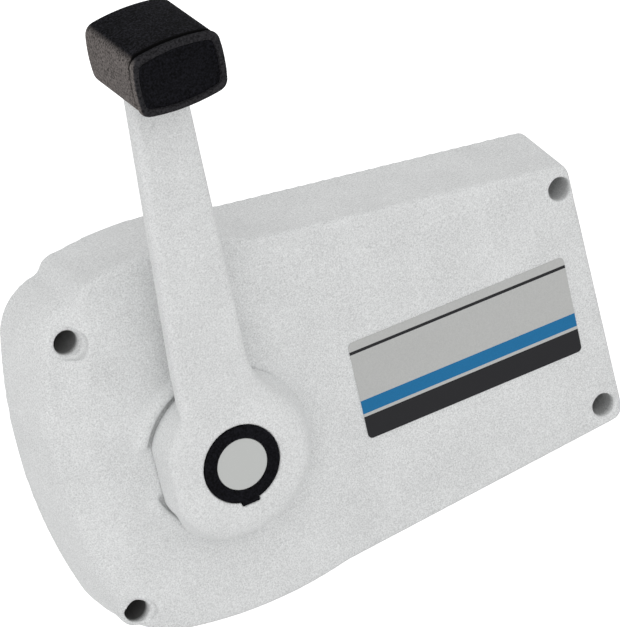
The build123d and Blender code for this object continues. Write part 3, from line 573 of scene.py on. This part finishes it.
def soft_housing():
    """The housing, its flank flattened, its edges and its collar softened."""
    voxel, rounds, kept = SOFT_HOUSING
    rims = [rim_filler(*bolt, inner, top) for bolt, inner, top in zip(BOLTS, RIM_INNER, RIM_TOPS)]
    piece = evened("housing_shell", voxel, rims)
    places = places_of(piece.data)
    x, y, z = places.T
    # the flank is flatter than the solid's between the face's edge and its outer rounding
    face_x = np.interp(z, FLANK_Z, FLANK_FACE_X)
    wall_x = np.interp(z, FLANK_Z, FLANK_WALL_X)
    out = (face_x - x) / (face_x - wall_x)
    drop = np.interp(z, FLANK_Z, FLANK_DROP)
    y = y + drop * ramp(out, 0.0, 0.24) * ramp(out, 1.0, 0.45) * ramp(y, -0.032, -0.042)
    places = np.stack([x, y, z], axis=1)
    reach = np.hypot(x, z)
    share = np.full(len(places), HOUSING_SHARE)
    flank = ramp(x, -0.030, -0.044) * ramp(y, -0.016, -0.024)
    share = np.maximum(share, flank * (0.45 + 0.4 * ramp(z, 0.064, 0.050)))
    collar = ramp(reach, 0.0375, 0.0395) * ramp(reach, 0.050, 0.044) * ramp(y, -0.040, -0.0415)
    share = np.maximum(share, COLLAR_SHARE * collar)
    for bolt_x, bolt_z in BOLTS:
        from_hole = ramp(np.hypot(x - bolt_x, z - bolt_z), *HOLE_STILL_R)
        share = np.minimum(share, STILL_SHARE + from_hole)
    places = smoothed(piece.data, places, share, rounds)
    finish_soft(piece, places, kept, "base", "housing_shell", "white_housing")


def soft_lever():
    """The lever, its hub spread towards the housing and its edges softened."""
    voxel, rounds, kept = SOFT_LEVER
    piece = evened("lever_arm", voxel)
    places = places_of(piece.data)
    x, y, z = places.T
    reach = np.hypot(x, z)
    # the hub's skirt widens towards the housing, from the arm's right edge round to below
    clockwise = np.degrees(np.arctan2(x, z)) % 360
    start, full, fading, end = SKIRT_TURN
    turn = ramp(clockwise, start, full) * ramp(clockwise, end, fading)
    round_part = np.maximum(turn, SKIRT_LEFT)
    down = ramp(y, -0.0625, -0.0470) * (y < SKIRT_END) * (reach > 0.024)
    widen = 1 + SKIRT * round_part * down / np.maximum(reach, 0.024)
    # its rim is rounded less on the left, where it meets the arm's edge
    left = ramp(x, -0.006, -0.015) * ramp(z, 0.036, 0.028) * (reach > POCKET_R)
    on_rim = y < HUB_FRONT + RIM_DEEP
    lower = y - (RIM_DEEP - RIM_LEFT) * left * ramp(y, -0.046, HUB_FRONT + RIM_DEEP)
    flatter = HUB_FRONT + (y - HUB_FRONT) * (1 - left * (1 - RIM_LEFT / RIM_DEEP))
    places = np.stack([x * widen, np.where(on_rim, flatter, lower), z * widen], axis=1)
    share = np.full(len(places), LEVER_SHARE)
    share = np.maximum(share, ramp(reach, 0.0215, 0.0235) * ramp(z, 0.045, 0.034))
    root = ramp(x, -0.034, -0.029) * ramp(x, -0.006, -0.012) * ramp(z, 0.000, 0.008)
    share = np.maximum(share, 2.0 * root * ramp(z, 0.050, 0.042) * ramp(y, -0.052, -0.056))
    share = np.where((reach < 0.0215) | (y > SKIRT_END), STILL_SHARE, share)
    places = smoothed(piece.data, places, share, rounds)
    # the slot for the button's key is cleared behind the rim, where the key runs
    slot = (reach > 0.0180) & (reach < POCKET_R) & (z < -0.0160) & (y > -0.0612) & (y < -0.0515)
    places[slot] *= SLOT_WIDER
    finish_soft(piece, places, kept, "lever", "lever_arm", "white_lever")


def soft_grip():
    """The grip, every edge softened alike."""
    voxel, rounds, kept = SOFT_GRIP
    piece = evened("knob_body", voxel)
    places = places_of(piece.data)
    places = smoothed(piece.data, places, np.ones(len(places)), rounds)
    finish_soft(piece, places, kept, "lever", "knob_body", "black_grip")


soft_housing()
soft_lever()
soft_grip()


# ------------------------------------------------------------------ springs
def sprung(node_name, body, joint, axis, travel, seat):
    """Copy of a spring that rides with its body in place of its CAD node; it keeps its length."""
    piece = frame["nodes"][node_name].copy()
    piece.data = piece.data.copy()
    piece.name = node_name + "_sprung"
    bpy.context.scene.collection.objects.link(piece)
    length = np.abs((places_of(piece.data) - seat) @ np.array(axis)).max()
    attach(piece, body)
    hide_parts(node_name)
    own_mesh(piece)


for spring in SPRINGS:
    sprung(*spring)


# ------------------------------------------------------------------ floor, light and camera
def seen_directly(tree):
    """1 for rays from the camera and through or off gloss and glass, otherwise 0."""
    rays = node(tree, "ShaderNodeLightPath")
    total = node(tree, "ShaderNodeMath", operation="ADD")
    tree.links.new(rays.outputs["Is Camera Ray"], total.inputs[0])
    tree.links.new(rays.outputs["Is Glossy Ray"], total.inputs[1])
    every = node(tree, "ShaderNodeMath", operation="ADD", use_clamp=True)
    tree.links.new(total.outputs[0], every.inputs[0])
    tree.links.new(rays.outputs["Is Transmission Ray"], every.inputs[1])
    return every.outputs[0]


floor_z = cad_low[2] - FLOOR_DROP
half = FLOOR_SIZE / 2
floor_mesh = bpy.data.meshes.new("floor")
corners = [(-half, -half), (half, -half), (half, half), (-half, half)]
floor_mesh.from_pydata([(x, y, floor_z) for x, y in corners], [], [(0, 1, 2, 3)])
floor = bpy.data.objects.new("floor", floor_mesh)
bpy.context.scene.collection.objects.link(floor)


def floor_material():
    """Pale grey that also glows white where it is seen directly."""
    made, tree, shader = new_material("pale_floor")
    shader.inputs["Base Color"].default_value = (0.80, 0.80, 0.80, 1.0)
    shader.inputs["Roughness"].default_value = 0.9
    glow = node(tree, "ShaderNodeEmission", Strength=FLOOR_GLOW)
    glow.inputs["Color"].default_value = (1, 1, 1, 1)
    dark = node(tree, "ShaderNodeEmission", Strength=0.0)
    pick = node(tree, "ShaderNodeMixShader")
    tree.links.new(seen_directly(tree), pick.inputs["Fac"])
    tree.links.new(dark.outputs[0], pick.inputs[1])
    tree.links.new(glow.outputs[0], pick.inputs[2])
    total = node(tree, "ShaderNodeAddShader")
    tree.links.new(shader.outputs[0], total.inputs[0])
    tree.links.new(pick.outputs[0], total.inputs[1])
    tree.links.new(total.outputs[0], tree.nodes["Material Output"].inputs["Surface"])
    return made


floor_mesh.materials.append(floor_material())

world = bpy.data.worlds.new("studio")
bpy.context.scene.world = world
world.use_nodes = True
sky = world.node_tree
background = sky.nodes["Background"]
background.inputs["Color"].default_value = (1, 1, 1, 1)
sky_strength = node(sky, "ShaderNodeMapRange")
sky.links.new(seen_directly(sky), sky_strength.inputs["Value"])
sky_strength.inputs["To Min"].default_value = WORLD_LIGHT
sky_strength.inputs["To Max"].default_value = WORLD_SEEN
sky.links.new(sky_strength.outputs["Result"], background.inputs["Strength"])


def soft_light(name, place, size, power):
    """Square soft box aimed at the object."""
    lamp = bpy.data.lights.new(name, "AREA")
    lamp.size = size
    lamp.energy = power
    holder = bpy.data.objects.new(name, lamp)
    bpy.context.scene.collection.objects.link(holder)
    holder.location = place
    holder.rotation_euler = (TARGET - Vector(place)).to_track_quat("-Z", "Y").to_euler()


for light in LIGHTS:
    soft_light(*light)

camera = bpy.data.objects.new("camera", bpy.data.cameras.new("camera"))
bpy.context.scene.collection.objects.link(camera)
camera.data.sensor_width = SENSOR
camera.data.lens = SENSOR * FOCAL_IN_FRAME_HEIGHTS
aim = Matrix.Rotation(radians(CAMERA_AZIMUTH), 3, "Z") @ Matrix.Rotation(
    radians(90 - CAMERA_ELEVATION), 3, "X")
backwards = aim @ Vector((0, 0, 1))
camera.location = TARGET + CAMERA_DISTANCE * backwards
rolled = aim.to_quaternion() @ Quaternion((0, 0, 1), radians(-CAMERA_ROLL))
camera.rotation_euler = rolled.to_euler()
camera.data.clip_start = 0.05
camera.data.clip_end = 50
bpy.context.scene.camera = camera

bpy.context.scene.view_settings.view_transform = "Standard"
